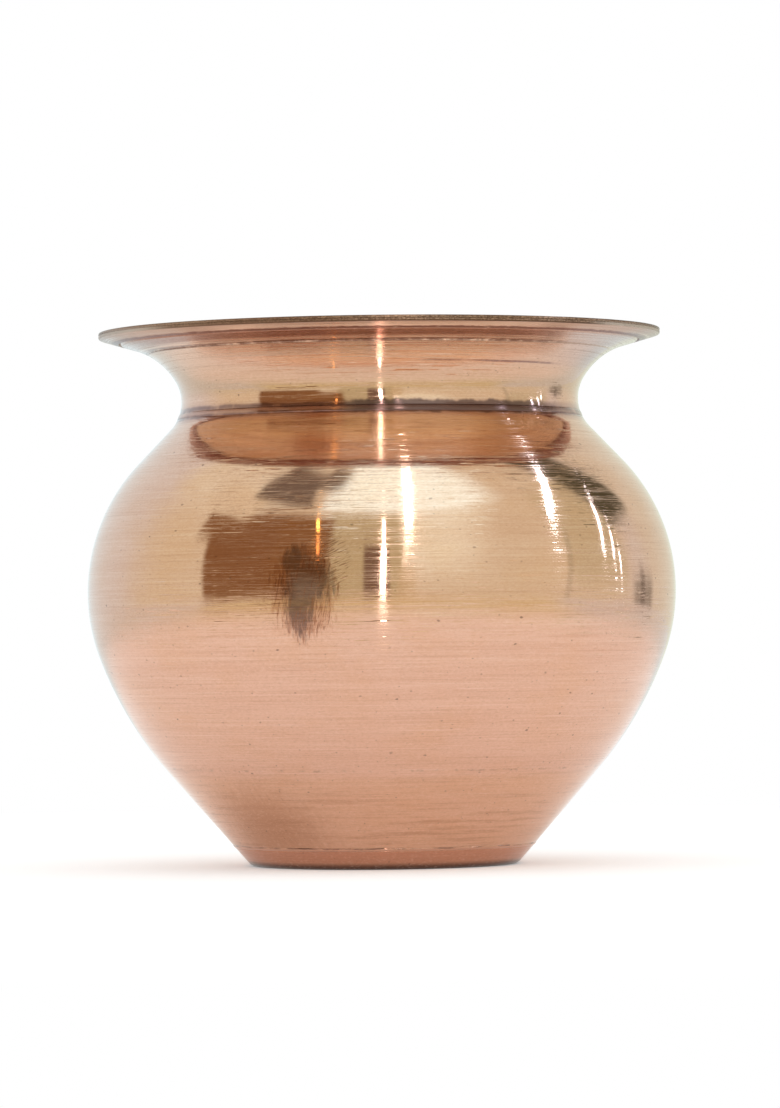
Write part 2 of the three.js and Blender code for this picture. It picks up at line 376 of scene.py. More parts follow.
def face(start, stop, depth, step):
    """Evenly spaced points of the outline between two places, in the order of the places."""
    count = max(2, int(abs(stop - start) / step) + 1)
    return outline(np.linspace(start, stop, count), depth)


def eased(points, cut=EASE, steps=4):
    """A closed section with its sharp corners rounded.

    A corner c between straight edges becomes the parabola (1-t)^2 a + 2t(1-t) c + t^2 b, where a
    and b lie on the two edges at the cut's distance, or 0.45 of the edge where that is shorter.
    The cut is one distance, or one for each point.
    """
    before, after = np.roll(points, 1, 0) - points, np.roll(points, -1, 0) - points
    long_before, long_after = np.linalg.norm(before, axis=1), np.linalg.norm(after, axis=1)
    before, after = before / long_before[:, None], after / long_after[:, None]
    sharp = np.sum(before * after, 1) > math.cos(math.radians(150))
    a = points + before * np.minimum(cut, long_before * 0.45)[:, None]
    b = points + after * np.minimum(cut, long_after * 0.45)[:, None]
    t = np.linspace(0, 1, steps)[:, None, None]
    curve = (1 - t) ** 2 * a + 2 * t * (1 - t) * points + t ** 2 * b
    keep = np.ones((steps, len(points)), bool)
    keep[1:, ~sharp] = False
    curve[0, ~sharp] = points[~sharp]
    return curve.transpose(1, 0, 2)[keep.T]


def runs(section):
    """The distance of each point along a section from its first."""
    return np.concatenate([[0], np.cumsum(np.linalg.norm(np.diff(section, axis=0), axis=1))])


def turned(name, section):
    """A section carried round the upright axis: (r cos a, r sin a, z) on a grid of section points
    and even angles a. The last point joins the first, unless both lie on the axis as poles. Its
    UV map holds a / 2 pi and the distance along the section in metres.
    """
    poles = section[0, 0] == 0
    rings = section[1:-1] if poles else section
    rows = len(rings)
    angle = 2 * np.pi * np.arange(ROUNDS) / ROUNDS
    radius, level = rings[:, :1], np.broadcast_to(rings[:, 1:], (rows, ROUNDS))
    grid = np.stack([radius * np.cos(angle), radius * np.sin(angle), level], -1)
    run = runs(rings)
    i, j = np.meshgrid(np.arange(rows - 1 if poles else rows), np.arange(ROUNDS), indexing="ij")
    up, next_j = (i + 1) % rows, (j + 1) % ROUNDS
    quads = np.stack([i * ROUNDS + j, i * ROUNDS + next_j, up * ROUNDS + next_j, up * ROUNDS + j], -1)
    quads = quads.reshape(-1, 4)
    high = np.where(i + 1 == rows, run[-1] + np.linalg.norm(rings[0] - rings[-1]), run[up])
    u = np.stack([j, j + 1, j + 1, j], -1).reshape(-1, 4) / ROUNDS
    v = np.stack([run[i], run[i], high, high], -1).reshape(-1, 4)
    points, faces = grid.reshape(-1, 3), quads.tolist()
    if poles:
        around = np.arange(ROUNDS)
        beside = (around + 1) % ROUNDS
        last = (rows - 1) * ROUNDS
        first_pole, last_pole = len(points), len(points) + 1
        points = np.vstack([points, [0, 0, section[0, 1]], [0, 0, section[-1, 1]]])
        fans = [np.stack([around * 0 + first_pole, beside, around], -1),
                np.stack([last + around, last + beside, around * 0 + last_pole], -1)]
        faces += np.vstack(fans).tolist()
    mesh = bpy.data.meshes.new(name)
    mesh.from_pydata(points.tolist(), [], faces)
    loops = np.zeros((len(mesh.loops), 2))
    loops[: quads.size] = np.stack([u, v], -1).reshape(-1, 2)
    if poles:
        fan_u = np.tile(np.stack([around, beside, around], -1).reshape(-1) / ROUNDS, 2)
        fan_v = np.concatenate([np.zeros(3 * ROUNDS), np.full(3 * ROUNDS, run[-1])])
        loops[quads.size:] = np.stack([fan_u, fan_v], -1)
    mesh.uv_layers.new(name="turning").data.foreach_set("uv", loops.reshape(-1))
    mesh.shade_smooth()
    piece = bpy.data.objects.new(name, mesh)
    scene.collection.objects.link(piece)
    return piece


# The copper's own colour and the marks that turning and polishing leave on it
COPPER = (0.755, 0.45, 0.33)
COPPER_BANDS = (0.685, 0.38, 0.262)
COPPER_CLOUDS = (0.72, 0.405, 0.265)
LINE_DARK = (0.52, 0.27, 0.175)
LINE_LIGHT = (0.86, 0.58, 0.46)
DIRT = (0.10, 0.05, 0.035)
SOOT = (0.19, 0.10, 0.098)
POLISHED, SATIN = 0.05, 0.26


def new_group(name, inputs, outputs):
    """An empty node group with number inputs and the outputs given as name: socket kind."""
    group = bpy.data.node_groups.new(name, "ShaderNodeTree")
    for socket, value in inputs.items():
        made = group.interface.new_socket(socket, in_out="INPUT", socket_type="NodeSocketFloat")
        made.default_value = value
    for socket, kind in outputs.items():
        group.interface.new_socket(socket, in_out="OUTPUT", socket_type=kind)
    return group, group.nodes.new("NodeGroupInput").outputs, group.nodes.new("NodeGroupOutput").inputs


def use(tree, group, **inputs):
    """Places a group; its inputs are named with underscores for spaces."""
    return place(tree, "ShaderNodeGroup", {"node_tree": group}, {
        name.replace("_", " "): value for name, value in inputs.items()}).outputs


def millimetres(tree, axis):
    """A place on the pot in millimetres: its x, y or z, or the run along its section."""
    kind, number = {"x": ("Object", 0), "y": ("Object", 1), "z": ("Object", 2), "run": ("UV", 1)}[axis]
    return calc(tree, "DIVIDE", axes(tree, kind)[number], MM)


def channels(tree, colour):
    """The red, green and blue of a colour, as three numbers."""
    return place(tree, "ShaderNodeSeparateColor", None, {0: colour}).outputs


def noise(tree, vector, detail=2.0, rough=0.6):
    """Three-dimensional noise at a scale of one."""
    inputs = {"Vector": vector, "Scale": 1.0, "Detail": detail, "Roughness": rough}
    return place(tree, "ShaderNodeTexNoise", None, inputs).outputs


def drawn_noise(tree, around, along, detail, rough=0.6):
    """Noise drawn out round the pot: x and y count in lengths of around millimetres, and the run
    along the section in lengths of along millimetres."""
    lengths = {"x": around, "y": around, "run": along}
    space = [calc(tree, "DIVIDE", millimetres(tree, axis), length) for axis, length in lengths.items()]
    return noise(tree, join(tree, *space), detail, rough)


# Turning lines: fine rings of tool marks. They tip the surface's direction up and down along its
# meridian, and leave some rings satin between the polished ones.
lines, line_in, line_out = new_group(
    "turning_lines",
    {"Around": 22.0, "Along": 0.12, "Tilt": 0.02, "Deep Tilt": 1.8, "Satin Share": 0.42},
    {"Satin": "NodeSocketFloat", "Dark": "NodeSocketFloat", "Light": "NodeSocketFloat",
     "Normal": "NodeSocketVector"},
)


def line_noise(around, along, detail=1.0, rough=0.6):
    """Noise whose grain is so many times as long and as high as that of the fine lines."""
    length = times(lines, line_in["Around"], around)
    return drawn_noise(lines, length, times(lines, line_in["Along"], along), detail, rough)


grain = line_noise(1.0, 1.0, 2.0)
shifted = calc(lines, "ADD", grain["Fac"], calc(lines, "SUBTRACT", line_in["Satin Share"], 0.5))
lines.links.new(rise(lines, shifted, 0.40, 0.60), line_out["Satin"])
# Broad waves of the tool lie under the fine lines, eight times as far apart
waves = line_noise(1.0, 8.0)
grains = channels(lines, grain["Color"])
fine = calc(lines, "SUBTRACT", grains[1], 0.5)
broad = calc(lines, "SUBTRACT", waves["Fac"], 0.5)
tip = times(lines, calc(lines, "ADD", fine, broad), line_in["Tilt"])
# Some short rings are cut deeper, and their steep sides draw each bright reflection out into a
# ladder; finer scratches everywhere give it a smooth tail
cuts = rise(lines, line_noise(0.22, 2.6)["Fac"], 0.57, 0.72)
scratches = rise(lines, line_noise(0.15, 0.4)["Fac"], 0.60, 0.70)
steep = times(lines, calc(lines, "SUBTRACT", grains[2], 0.5), line_in["Deep Tilt"])
tip = calc(lines, "ADD", tip, times(lines, steep, calc(lines, "MAXIMUM", cuts, scratches)))
streaks = line_noise(1.2, 2.4, 5.0, 0.8)["Fac"]
lines.links.new(rise(lines, streaks, 0.52, 0.68), line_out["Dark"])
lines.links.new(rise(lines, streaks, 0.48, 0.34), line_out["Light"])
normal = place(lines, "ShaderNodeNewGeometry").outputs["Normal"]
at = axes(lines)
round_way = join(lines, times(lines, at[1], -1.0), at[0])
meridian = vector_calc(lines, "NORMALIZE", vector_calc(lines, "CROSS_PRODUCT", normal, round_way))
tipped = vector_calc(lines, "NORMALIZE", vector_calc(lines, "MULTIPLY_ADD", meridian, tip, normal))
lines.links.new(tipped, line_out["Normal"])


# Ring mark: a dark line round the pot where dirt, flux or a tool has caught. It wanders about its
# place, is broken by gaps and leans with the pot. All lengths are in millimetres.
ring_mark, mark_in, mark_out = new_group(
    "ring_mark",
    {"Position": 0.0, "Place": 0.0, "Width": 0.3, "Soft": 0.15, "Wander": 0.2, "Patch": 6.0, "Gaps": 0.4,
     "Lean": 0.0, "Seed": 0.0},
    {"Mark": "NodeSocketFloat"},
)
x = millimetres(ring_mark, "x")
patches_x = calc(ring_mark, "DIVIDE", x, mark_in["Patch"])
patches_y = calc(ring_mark, "DIVIDE", millimetres(ring_mark, "y"), mark_in["Patch"])
ragged = noise(ring_mark, join(ring_mark, patches_x, patches_y, mark_in["Seed"]), 4.0)
swing = calc(ring_mark, "SUBTRACT", channels(ring_mark, ragged["Color"])[1], 0.5)
drift = times(ring_mark, swing, mark_in["Wander"])
drift = calc(ring_mark, "ADD", drift, times(ring_mark, x, mark_in["Lean"]))
away = calc(ring_mark, "SUBTRACT", mark_in["Position"], mark_in["Place"])
away = calc(ring_mark, "ABSOLUTE", calc(ring_mark, "SUBTRACT", away, drift))
beyond = calc(ring_mark, "SUBTRACT", away, times(ring_mark, mark_in["Width"], 0.5))
solid = rise(ring_mark, calc(ring_mark, "DIVIDE", beyond, mark_in["Soft"]), 1.0, 0.0)
thick = rise(ring_mark, calc(ring_mark, "SUBTRACT", ragged["Fac"], mark_in["Gaps"]), -0.10, 0.14)
ring_mark.links.new(times(ring_mark, solid, thick), mark_out["Mark"])


# Front patch: a ragged oval at a place on the pot's front, given by its angle round from the
# front and its height, with its own size in millimetres
front_patch, patch_in, patch_out = new_group(
    "front_patch",
    {"Angle": 0.0, "Height": 50.0, "Half Width": 5.0, "Half Height": 8.0, "Ragged": 0.5, "Soft": 0.3},
    {"Mark": "NodeSocketFloat", "Across": "NodeSocketFloat", "Up": "NodeSocketFloat"},
)
at = axes(front_patch)
turned_by = calc(front_patch, "SUBTRACT", bearing(front_patch, at), patch_in["Angle"])
radius = vector_calc(front_patch, "LENGTH", join(front_patch, at[0], at[1]))
radius = calc(front_patch, "DIVIDE", radius, MM)
across = times(front_patch, calc(front_patch, "RADIANS", turned_by), radius)
up = calc(front_patch, "SUBTRACT", millimetres(front_patch, "z"), patch_in["Height"])
spot = join(front_patch, across, up)
half_size = join(front_patch, patch_in["Half Width"], patch_in["Half Height"], 1.0)
distance = vector_calc(front_patch, "LENGTH", vector_calc(front_patch, "DIVIDE", spot, half_size))
ragged = noise(front_patch, vector_calc(front_patch, "MULTIPLY", spot, (1.1, 0.28, 1.0)), 4.0, 0.7)
ragged = times(front_patch, calc(front_patch, "SUBTRACT", ragged["Fac"], 0.5), patch_in["Ragged"])
inside = calc(front_patch, "SUBTRACT", 1.0, calc(front_patch, "ADD", distance, ragged))
oval = rise(front_patch, calc(front_patch, "DIVIDE", inside, patch_in["Soft"]), 0.0, 1.0)
for value, socket in ((oval, "Mark"), (across, "Across"), (up, "Up")):
    front_patch.links.new(value, patch_out[socket])


def patch(tree, angle, height, half_width, half_height, ragged, soft):
    """A front patch's mark, and the places across and up in it."""
    return use(tree, front_patch, Angle=angle, Height=height, Half_Width=half_width,
               Half_Height=half_height, Ragged=ragged, Soft=soft)


def hairlines(tree, area, lean, pitch, length, share):
    """Fine scratches in a front patch: noise drawn out along lines that lean by an angle, and cut
    off above a share."""
    cos, sin = math.cos(math.radians(lean)), math.sin(math.radians(lean))
    across, up = area["Across"], area["Up"]
    along = calc(tree, "ADD", times(tree, across, cos), times(tree, up, sin))
    aside = calc(tree, "SUBTRACT", times(tree, up, cos), times(tree, across, sin))
    spot = join(tree, calc(tree, "DIVIDE", along, length), calc(tree, "DIVIDE", aside, pitch))
    scratch = rise(tree, noise(tree, spot, 1.0)["Fac"], 1.0 - share, 1.06 - share)
    return times(tree, area["Mark"], scratch)


def tinted(tree, colour, mask, share, paint):
    """A colour covered by a share of another one where the mask is 1."""
    return blend(tree, times(tree, mask, share), colour, paint)


def copper(name, tilt=0.02, satin_share=0.42):
    """Turned copper before its own marks: its colour drifts in bands and soft clouds, and its
    roughness follows the turning lines. Returns the material, its tree, colour and roughness."""
    material = bpy.data.materials.new(name)
    material.use_nodes = True
    tree = material.node_tree
    marks = use(tree, lines, Tilt=tilt, Satin_Share=satin_share)
    shader = tree.nodes["Principled BSDF"]
    shader.inputs["Metallic"].default_value = 1.0
    shader.inputs["Anisotropic"].default_value = 1.0
    shader.inputs["Anisotropic Rotation"].default_value = 0.25
    tree.links.new(marks["Normal"], shader.inputs["Normal"])
    tangent = place(tree, "ShaderNodeTangent", {"direction_type": "RADIAL", "axis": "Z"})
    tree.links.new(tangent.outputs[0], shader.inputs["Tangent"])
    bands = rise(tree, drawn_noise(tree, 60.0, 2.6, 4.0, 0.65)["Fac"], 0.35, 0.75)
    clouds = rise(tree, drawn_noise(tree, 14.0, 9.0, 3.0)["Fac"], 0.42, 0.70)
    colour = blend(tree, times(tree, bands, 0.6), COPPER, COPPER_BANDS)
    colour = tinted(tree, colour, clouds, 0.6, COPPER_CLOUDS)
    colour = tinted(tree, colour, marks["Dark"], 0.42, LINE_DARK)
    colour = tinted(tree, colour, marks["Light"], 0.42, LINE_LIGHT)
    rough = place(tree, "ShaderNodeMapRange", None, {
        "Value": marks["Satin"], "To Min": POLISHED, "To Max": SATIN}).outputs[0]
    return material, tree, colour, rough


def pits(tree, colour, around=46.0, along=4.2, radius=0.036, share=0.5, depth=0.6):
    """Scattered small dark pits, one to a cell of the unrolled surface, of which only a share is
    deep enough to show. There are around cells round the pot, each along millimetres high."""
    at = axes(tree, "UV")
    unrolled = join(tree, times(tree, at[0], around), calc(tree, "DIVIDE", at[1], along * MM))
    ragged = noise(tree, vector_calc(tree, "MULTIPLY", unrolled, (14.0, 14.0, 14.0)), 1.0)["Color"]
    bent = vector_calc(tree, "MULTIPLY_ADD", ragged, (radius * 2.2, radius * 2.2, 0.0), unrolled)
    flat = {"voronoi_dimensions": "2D"}
    cells = place(tree, "ShaderNodeTexVoronoi", flat, {"Vector": bent, "Scale": 1.0}).outputs
    chance = channels(tree, cells["Color"])
    reach = times(tree, calc(tree, "ADD", chance[1], 0.35), radius)
    spot = rise(tree, calc(tree, "DIVIDE", cells["Distance"], reach), 1.3, 0.6)
    deep = times(tree, rise(tree, chance[0], 1.0 - share, 1.0), depth)
    return tinted(tree, colour, spot, deep, DIRT)


def granular(tree, grains):
    """Fine noise fixed to the pot, with so many grains to a metre along x, y and z."""
    spot = place(tree, "ShaderNodeTexCoord").outputs["Object"]
    return noise(tree, vector_calc(tree, "MULTIPLY", spot, grains), 3.0, 0.75)["Fac"]


def grime(tree, colour):
    """What handling leaves: a fine unevenness of the colour, specks and a few larger pits."""
    uneven = granular(tree, (1600, 1600, 3600))
    colour = tinted(tree, colour, rise(tree, uneven, 0.50, 0.72), 0.28, LINE_DARK)
    colour = tinted(tree, colour, rise(tree, uneven, 0.50, 0.30), 0.28, LINE_LIGHT)
    colour = pits(tree, colour, around=150.0, along=1.5, radius=0.08, share=0.30, depth=0.40)
    return pits(tree, colour)


def settle(material, colour, rough):
    """Feeds the finished colour and roughness to the material's shader."""
    shader = material.node_tree.nodes["Principled BSDF"]
    material.node_tree.links.new(colour, shader.inputs["Base Color"])
    material.node_tree.links.new(rough, shader.inputs["Roughness"])
    return material


def finish(piece, node, material):
    """Puts a piece in its node's place, with its material."""
    piece.data.materials.append(material)
    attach(piece, "root")
    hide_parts(node)


tuck_depth = DISH_SHEET + LAP_FILM
lap_end = foot_seam[0] - FOOT_LAP
body_section = eased(np.vstack([
    face(lap_end, foot_seam[0], tuck_depth, FINE_STEP),
    face(foot_seam[1], neck_seam[0], 0, FINE_STEP),
    face(neck_seam[0], foot_seam[1], BODY_SHEET, COARSE_STEP),
    face(foot_seam[0], lap_end, tuck_depth + BODY_SHEET, COARSE_STEP),
]))
body = turned("body", body_section)

# Heights of the seams' dirt, in millimetres
SEAM_LOW, SEAM_MIDDLE, SEAM_TOP = (
    outline(seam_place, 0)[1] / MM for seam_place in (neck_seam[0], neck_middle, neck_seam[1]))
FOOT_LINE = 3.75
SMEAR_RISE = 0.25  # how far the smear lies above the seam's middle
SMEAR_LEFT, SMEAR_RIGHT = (-7.5, -3.5), (33.0, 24.0)  # x where each end starts and is full
SEAM_VIOLET = (0.40, 0.215, 0.19)
SMEAR = (0.155, 0.085, 0.078)


def neck_soot(tree, colour, z):
    """The neck seam's dirt, on all three pieces that meet there: a violet haze, an upper and a
    lower line, and a thicker smear between them on the right of the front."""
    upper = use(tree, ring_mark, Position=z, Place=SEAM_TOP, Width=0.24, Soft=0.50, Wander=0.9, Patch=4.0,
                Gaps=0.36, Lean=-0.010, Seed=3.0)["Mark"]
    lower = use(tree, ring_mark, Position=z, Place=SEAM_LOW, Width=0.20, Soft=0.45, Wander=0.7, Patch=5.0,
                Gaps=0.36, Lean=0.0, Seed=11.0)["Mark"]
    smear = use(tree, ring_mark, Position=z, Place=SEAM_MIDDLE + SMEAR_RISE, Width=1.55, Soft=0.55,
                Wander=1.6, Patch=2.2, Gaps=0.22, Lean=0.0, Seed=5.0)["Mark"]
    haze = use(tree, ring_mark, Position=z, Place=SEAM_MIDDLE, Width=1.5, Soft=1.2, Wander=0.8, Patch=8.0,
               Gaps=0.30, Lean=0.0, Seed=9.0)["Mark"]
    x = millimetres(tree, "x")
    smear = times(tree, smear, rise(tree, x, *SMEAR_LEFT), rise(tree, x, *SMEAR_RIGHT))
    colour = tinted(tree, colour, haze, 0.6, SEAM_VIOLET)
    for mark, share, paint in ((upper, 0.72, SOOT), (lower, 0.72, SOOT), (smear, 0.90, SMEAR)):
        colour = tinted(tree, colour, mark, share, paint)
    return colour


def foot_dirt(tree, colour, z):
    """The thin broken line of dirt along the foot's seam."""
    line = use(tree, ring_mark, Position=z, Place=FOOT_LINE, Width=0.08, Soft=0.16, Wander=0.45, Patch=3.0,
               Gaps=0.48, Lean=0.0, Seed=31.0)["Mark"]
    return tinted(tree, colour, line, 0.65, DIRT)


CREASE_TOP = 17.5
CONE_DARKENS_FROM, CONE_DARKENS_TO = 24.0, 8.0
CONE_COPPER = (0.73, 0.41, 0.26)
CONE_BROWN = (0.46, 0.215, 0.12)
RED_TARNISH = (0.42, 0.15, 0.07)
SCRATCH_RED = (0.28, 0.11, 0.06)
SMUDGE, SMUDGE_LOW = (0.27, 0.17, 0.14), (0.15, 0.085, 0.07)
SMUDGE_DARKENS_FROM, SMUDGE_DARKENS_TO = 50.5, 47.5
# Each front patch: angle, height, half width, half height, raggedness and softness. The first
# darkens the left of the cone. The others make an old rubbed patch at the left of the front, with
# red edges, and the scratches that end in it.
CONE_LEFT = (-42.0, 7.5, 17.0, 11.0, 0.6, 0.9)
RUBBED = {
    "tarnish": (-14.6, 48.0, 6.6, 8.8, 1.7, 0.35),
    "smudge": (-13.6, 50.0, 5.2, 5.0, 1.6, 0.5),
    "tail": (-15.4, 46.0, 3.4, 6.4, 1.6, 0.5),
    "top": (-16.6, 53.6, 3.0, 3.2, 1.8, 0.6),
    "comb": (-8.8, 53.0, 3.2, 6.5, 0.8, 0.5),
    "loops": (-13.0, 43.5, 4.6, 2.9, 0.8, 0.5),
}

material, tree, colour, rough = copper("copper_body")
z = millimetres(tree, "z")
cone = rise(tree, z, CREASE_TOP - 0.2, CREASE_TOP - 2.0)
colour = tinted(tree, colour, cone, 0.5, CONE_COPPER)
cone_bands = rise(tree, drawn_noise(tree, 16.0, 0.9, 4.0, 0.7)["Fac"], 0.48, 0.70)
near_foot = rise(tree, z, CONE_DARKENS_FROM, CONE_DARKENS_TO)
colour = tinted(tree, colour, times(tree, cone_bands, near_foot), 0.5, CONE_BROWN)
colour = tinted(tree, colour, patch(tree, *CONE_LEFT)["Mark"], 0.65, CONE_BROWN)
crease = use(tree, ring_mark, Position=z, Place=CREASE_TOP, Width=0.10, Soft=0.22, Wander=0.7, Patch=2.0,
             Gaps=0.56, Lean=-0.004, Seed=21.0)["Mark"]
colour = tinted(tree, colour, crease, 0.35, DIRT)
colour = grime(tree, colour)
parts = {part: patch(tree, *shape) for part, shape in RUBBED.items()}
colour = tinted(tree, colour, parts["tarnish"]["Mark"], 0.46, RED_TARNISH)
rubbed = calc(tree, "MAXIMUM", parts["smudge"]["Mark"], parts["tail"]["Mark"])
rubbed = calc(tree, "MAXIMUM", rubbed, parts["top"]["Mark"])
wear = calc(tree, "MULTIPLY_ADD", drawn_noise(tree, 2.2, 0.5, 3.0, 0.7)["Fac"], 0.72, 0.42)
darker = rise(tree, z, SMUDGE_DARKENS_FROM, SMUDGE_DARKENS_TO)
colour = tinted(tree, colour, rubbed, wear, blend(tree, darker, SMUDGE, SMUDGE_LOW))
colour = tinted(tree, colour, hairlines(tree, parts["tarnish"], 80, 0.30, 3.5, 0.42), 0.7, SCRATCH_RED)
combed = hairlines(tree, parts["comb"], 24, 0.22, 2.4, 0.46)
looped = hairlines(tree, parts["loops"], 72, 0.20, 1.6, 0.45)
colour = tinted(tree, colour, calc(tree, "MAXIMUM", combed, looped), 0.7, SCRATCH_RED)
colour = neck_soot(tree, colour, z)
colour = foot_dirt(tree, colour, z)
finish(body, "body_shell", settle(material, colour, rough))


# Base dish: a pressed copper dish that closes the bottom. Its middle is pushed up, so that the
# pot stands on a flat ring, and its rim turns up outside the body's lower edge.
KICK_RADIUS, KICK_HEIGHT, KICK_POINTS = 17.0 * MM, 1.0 * MM, 24
FOOT_RED = (0.55, 0.225, 0.13)
FOOT_PAINTED_SHADE = (0.11, 0.05, 0.035)
FOOT_DARKENS_FROM, FOOT_DARKENS_TO = 1.4, 0.4

share = np.linspace(0, 1, KICK_POINTS)[:, None]
kick = np.hstack([KICK_RADIUS * share, KICK_HEIGHT * (1 - share ** 2)])
dish = turned("dish", np.vstack([
    kick,
    face(0, foot_seam[0], 0, FINE_STEP / 2),
    face(foot_seam[0], 0, DISH_SHEET, FINE_STEP / 2),
    kick[::-1] + (0, DISH_SHEET),
]))

material, tree, colour, rough = copper("copper_foot", satin_share=0.5)
colour = blend(tree, 0.75, colour, FOOT_RED)
# Painted shade: the foot darkens to near black over its lowest millimetre, where it meets the floor
painted_contact_shade = rise(tree, millimetres(tree, "z"), FOOT_DARKENS_FROM, FOOT_DARKENS_TO)
colour = tinted(tree, colour, painted_contact_shade, 0.9, FOOT_PAINTED_SHADE)
colour = grime(tree, colour)
finish(dish, "base_dish", settle(material, colour, rough))


# Foot braze: filler metal run into the step where the body tucks in behind the dish's rim. It is
# left dark and uneven, with a low crown.
BRAZE_CROWN = 0.08 * MM
BRAZE_STEPS = 7
FILLER_BROWN = (0.62, 0.32, 0.22)


def braze(name, seam, lip_sheet):
    """A crowned bead between a sheet's square lip and the slope of the sheet behind it: its outer
    face is the outline raised by the crown times 4 s (1 - s), s being the share of its width."""
    share = np.linspace(0, 1, BRAZE_STEPS)
    bead = outline(seam[0] + share * (seam[1] - seam[0]), -BRAZE_CROWN * 4 * share * (1 - share))
    back = outline(np.full(2, seam[0]), np.array([lip_sheet + LAP_FILM, lip_sheet]))
    return turned(name, np.vstack([bead, back]))


def filler(name):
    """Filler metal dressed back with the copper: duller, browner and dirty along its edges."""
    material, tree, colour, rough = copper(name, tilt=0.05, satin_share=0.6)
    z = millimetres(tree, "z")
    colour = blend(tree, 0.5, colour, FILLER_BROWN)
    colour = neck_soot(tree, colour, z)
    return settle(material, foot_dirt(tree, colour, z), rough)


foot_bead = braze("foot_bead", foot_seam, DISH_SHEET)
seam_filler = filler("braze")
finish(foot_bead, "foot_braze", seam_filler)


# Neck collar: spun from a second piece of sheet. Its skirt steps in under the body's lip, and it
# turns through the throat and the flare into the wide flange, which steps up over the rim ring.
COLLAR_SHEET, RING_SHEET, NECK_LAP = 0.5 * MM, 0.45 * MM, 3.0 * MM
RING_WIDTH, RING_STEP = 3.7 * MM, 0.6 * MM
GROOVE_INSET, GROOVE_WIDTH, GROOVE_DEPTH = 9.0 * MM, 0.45 * MM, 0.14 * MM
RIM_EASE = 0.22 * MM

skirt_depth = BODY_SHEET + LAP_FILM
flange_depth = RING_SHEET + LAP_FILM
ring_place = rim_place - RING_WIDTH
groove = rim_place - GROOVE_INSET
collar_end = neck_seam[0] - NECK_LAP


def rim_point(depth):
    """The trimmed rim at a depth: straight above the outline's tip."""
    tip_r, tip_z = stretch_table[-1, 2:4]
    return np.array([[tip_r, tip_z + depth / math.cos(math.radians(FLANGE_SLOPE))]])


collar_points = np.vstack([
    face(collar_end, neck_seam[0], skirt_depth, FINE_STEP),
    face(neck_seam[1], groove - GROOVE_WIDTH / 2, 0, FINE_STEP / 2),
    outline([groove - GROOVE_WIDTH / 5, groove + GROOVE_WIDTH / 5], GROOVE_DEPTH),
    face(groove + GROOVE_WIDTH / 2, ring_place - RING_STEP, 0, FINE_STEP / 2),
    outline([ring_place], flange_depth),
    rim_point(flange_depth),
    rim_point(flange_depth + COLLAR_SHEET),
    outline([ring_place], flange_depth + COLLAR_SHEET),
    face(ring_place - RING_STEP, neck_seam[1], COLLAR_SHEET, FINE_STEP),
    face(neck_seam[0], collar_end, skirt_depth + COLLAR_SHEET, FINE_STEP),
])
at_rim = collar_points[:, 1] > outline(groove, 0)[1]
collar_section = eased(collar_points, np.where(at_rim, RIM_EASE, EASE))
collar = turned("collar", collar_section)

# Places in millimetres: the rim, the groove and the ring's inner edge
RIM_RADIUS = stretch_table[-1, 2] / MM
EDGE_MIDDLE = rim_point((flange_depth + COLLAR_SHEET) / 2)[0, 1] / MM
GROOVE_HEIGHT, RING_HEIGHT = (outline(mark_place, 0)[1] / MM for mark_place in (groove, ring_place))
EDGE_DARK = (0.22, 0.118, 0.075)
EDGE_BRIGHT = (0.60, 0.36, 0.245)
EDGE_PAINTED_SHADE = (0.13, 0.062, 0.038)
EDGE_LEFT_LIGHTER = (0.56, 0.345, 0.25)
EDGE_PAINTED_HIGHLIGHT = (0.86, 0.67, 0.56)
EDGE_DULL, FLANGE_DULL = 0.28, 0.15
EDGE_FROM, EDGE_TO = RIM_RADIUS - 0.22, RIM_RADIUS - 0.08
BORDER_FROM, BORDER_TO = 0.26, 0.46  # up and down from the edge's middle
LEFT_LIGHTER_FROM, LEFT_LIGHTER_TO = -4.0, -22.0  # along x


def to_sides(tree, near, far):
    """0 over the middle of the pot and 1 towards its left and right, by the distance |x|."""
    return rise(tree, calc(tree, "ABSOLUTE", millimetres(tree, "x")), near, far)


def trimmed_edge(tree, colour, rough):
    """The sheared and filed edge of the rim: dark, granular and dull, with bright specks. Painted shade
    darkens its upper and lower borders, it is lighter over the left, and a painted highlight makes its
    lower half paler towards the sides."""
    x, y = millimetres(tree, "x"), millimetres(tree, "y")
    reach = vector_calc(tree, "LENGTH", join(tree, x, y))
    edge = rise(tree, reach, EDGE_FROM, EDGE_TO)
    cut = blend(tree, rise(tree, granular(tree, (2600, 2600, 5200)), 0.42, 0.62), EDGE_DARK, EDGE_BRIGHT)
    level = calc(tree, "SUBTRACT", millimetres(tree, "z"), EDGE_MIDDLE)
    # Painted shade: darker upper and lower borders round the edge's lighter middle
    border = rise(tree, calc(tree, "ABSOLUTE", level), BORDER_FROM, BORDER_TO)
    cut = tinted(tree, cut, border, 0.8, EDGE_PAINTED_SHADE)
    cut = tinted(tree, cut, rise(tree, x, LEFT_LIGHTER_FROM, LEFT_LIGHTER_TO), 0.45, EDGE_LEFT_LIGHTER)
    # Painted highlight: the edge's lower half paler towards the sides
    lower = times(tree, to_sides(tree, 35.0, 42.0), rise(tree, level, 0.20, -0.10))
    cut = tinted(tree, cut, lower, 0.85, EDGE_PAINTED_HIGHLIGHT)
    return blend(tree, edge, colour, cut), calc(tree, "MULTIPLY_ADD", edge, EDGE_DULL, rough)


def tarnish_rings(tree):
    """Rings of red tarnish, as a mask."""
    return rise(tree, drawn_noise(tree, 30.0, 0.42, 3.0, 0.7)["Fac"], 0.46, 0.62)


THROAT_COPPER = (0.635, 0.395, 0.265)
THROAT_FROM, THROAT_TO = 82.0, 84.5
FLANGE_FROM, FLANGE_TO = 86.0, 89.0
FRONT_LEFT, FRONT_RIGHT = (-50.0, -40.0), (40.0, 24.0)  # x where each end starts and is full
